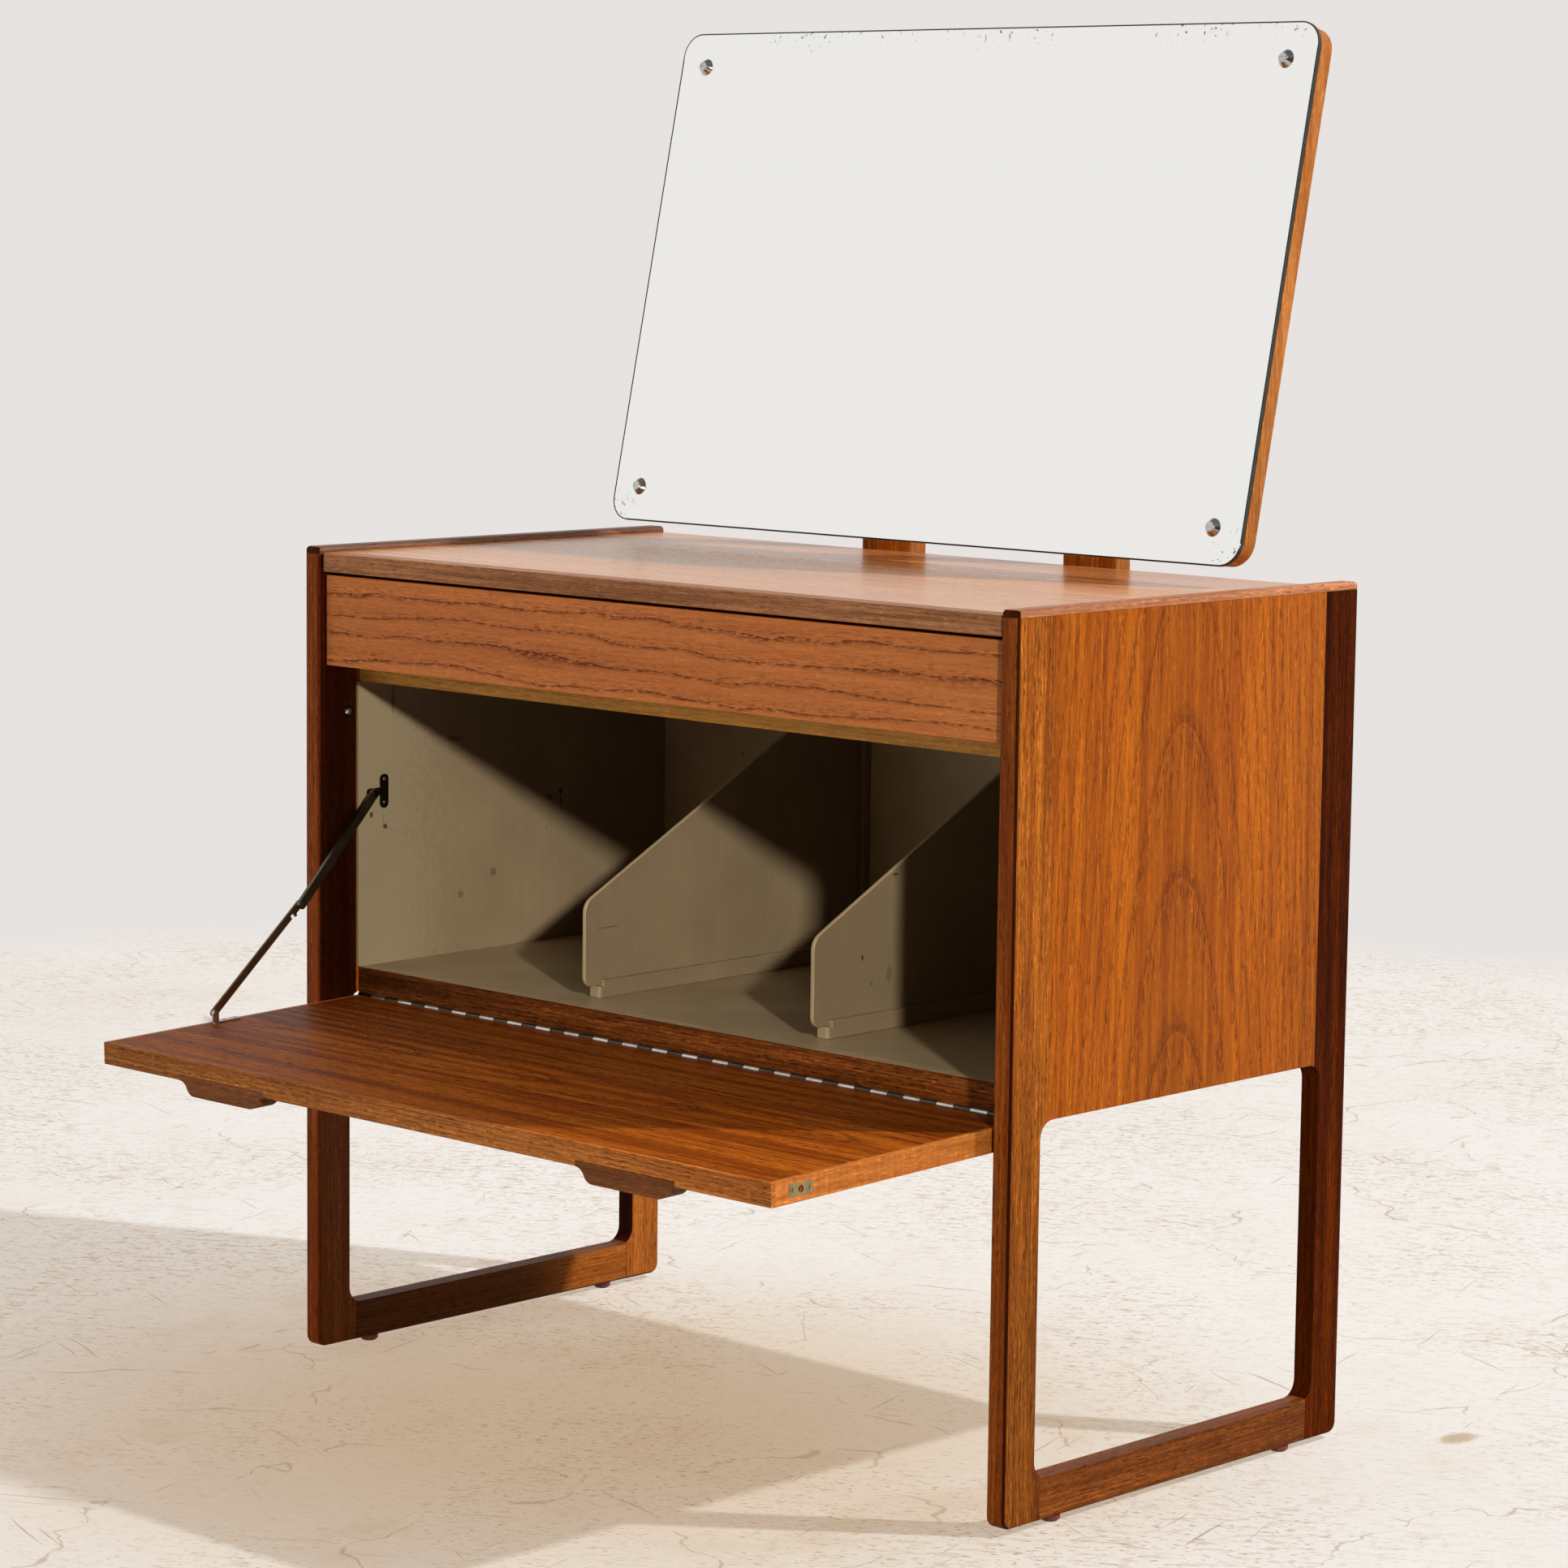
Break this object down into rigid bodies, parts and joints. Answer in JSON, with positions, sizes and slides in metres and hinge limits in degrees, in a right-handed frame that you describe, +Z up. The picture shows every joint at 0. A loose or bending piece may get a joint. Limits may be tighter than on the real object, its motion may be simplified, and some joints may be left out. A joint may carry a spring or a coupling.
{
  "type": "dresser",
  "caption": "Low teak dresser with open sled side frames, a drop-front compartment with dividers, a side-hung drawer and a tilting mirror on two rear posts.",
  "frame": {"origin": "middle of the overall box at floor level, with the front open as it rests", "axes": "+X to the dresser's right as one faces it, +Y to its back, +Z up"},
  "size_m": [0.8, 0.6774, 1.1425],
  "materials": {
    "teak_frame": "oiled teak, vertical grain, satin",
    "teak_panel": "oiled teak veneer, orange brown, crown grain, satin",
    "teak_top": "worn oiled teak veneer, pinkish brown, satin sheen",
    "teak_dark": "oiled solid teak, dark brown",
    "teak_rail": "golden solid wood, clear finish",
    "light_wood": "light solid wood, clear finish",
    "drawer_wood": "plain light wood, unfinished",
    "painted_board": "matt warm grey paint, aged",
    "mirror_silver": "silvered glass with small age spots",
    "board_edge": "dark stained board",
    "chrome_stud": "polished chrome",
    "stay_metal": "dark bronzed, worn bright at its edges",
    "strike_brass": "aged brass",
    "hinge_steel": "plated steel, worn",
    "bracket_steel": "plated steel",
    "ball_steel": "polished steel",
    "glide_plastic": "reddish brown, worn"
  },
  "bodies": {
    "carcass": {"left_front_post": "teak_frame", "left_back_post": "teak_frame", "left_bottom_rail": "teak_frame", "left_side_panel": "teak_panel", "left_top_strip": "teak_frame", "right_front_post": "teak_frame", "right_back_post": "teak_frame", "right_bottom_rail": "teak_frame", "right_side_panel": "teak_panel", "right_top_strip": "teak_frame", "foot_glides": "glide_plastic", "top_panel": "teak_top", "top_lipping": "teak_dark", "back_panel": "painted_board", "bottom_shelf": "painted_board", "shelf_lip": "teak_panel", "drawer_shelf": "painted_board", "drawer_shelf_rail": "teak_rail", "top_back_rail": "drawer_wood", "left_liner": "painted_board", "right_liner": "painted_board", "left_divider": "painted_board", "left_floor_batten": "painted_board", "left_back_batten": "painted_board", "right_divider": "painted_board", "right_floor_batten": "painted_board", "right_back_batten": "painted_board", "left_runner": "drawer_wood", "right_runner": "drawer_wood", "hinge_case_leaf": "hinge_steel", "catch_barrels": "strike_brass", "stay_wall_bracket": "stay_metal", "left_mirror_post": "light_wood", "right_mirror_post": "light_wood", "post_brackets": "bracket_steel", "mirror_pivot_bolts": "bracket_steel"},
    "door": {"door_panel": "teak_panel", "door_front_lipping": "teak_panel", "door_left_lipping": "teak_panel", "door_right_lipping": "teak_panel", "left_handle": "teak_dark", "right_handle": "teak_dark", "strike_plates": "strike_brass", "hinge_door_leaf": "hinge_steel", "stay_door_bracket": "stay_metal"},
    "stay_upper": {"stay_upper_arm": "stay_metal"},
    "stay_lower": {"stay_lower_arm": "stay_metal"},
    "drawer": {"drawer_front": "teak_panel", "left_drawer_side": "drawer_wood", "right_drawer_side": "drawer_wood", "drawer_back": "drawer_wood", "drawer_bottom": "drawer_wood"},
    "mirror": {"mirror_board": "board_edge", "mirror_glass": "mirror_silver", "mirror_studs": "chrome_stud", "mirror_brackets": "bracket_steel"},
    "left_ball": {"left_catch_ball": "ball_steel"},
    "right_ball": {"right_catch_ball": "ball_steel"}
  },
  "joints": [
    {"name": "door_hinge", "type": "hinge", "parent": "carcass", "child": "door", "pos_m": [0, -0.0614, 0.311], "axis": [-1, 0, 0], "range_deg": [0, 91.5]},
    {"name": "stay_upper_pivot", "type": "hinge", "parent": "carcass", "child": "stay_upper", "pos_m": [-0.3739, -0.049, 0.48599], "axis": [1, 0, 0], "range_deg": [0, 128.44]},
    {"name": "stay_lower_pivot", "type": "hinge", "parent": "door", "child": "stay_lower", "pos_m": [-0.3762, -0.22536, 0.31471], "axis": [1, 0, 0], "range_deg": [0, 50.82]},
    {"name": "drawer_slide", "type": "slide", "parent": "carcass", "child": "drawer", "axis": [0, -1, 0], "range_m": [0, 0.3]},
    {"name": "mirror_tilt", "type": "hinge", "parent": "carcass", "child": "mirror", "pos_m": [0, 0.2947, 0.93], "axis": [-1, 0, 0], "range_deg": [-12.15, 12]},
    {"name": "left_catch_press", "type": "slide", "parent": "carcass", "child": "left_ball", "axis": [-1, 0, 0], "range_m": [0, 0.0022], "stiffness_N_per_m": 500, "springref_m": -0.002},
    {"name": "right_catch_press", "type": "slide", "parent": "carcass", "child": "right_ball", "axis": [1, 0, 0], "range_m": [0, 0.0022], "stiffness_N_per_m": 500, "springref_m": -0.002}
  ],
  "couplings": [
    {"joint": "stay_upper_pivot", "follows": "door_hinge", "ratio": 1.3982},
    {"joint": "stay_lower_pivot", "follows": "door_hinge", "ratio": 0.54991}
  ]
}
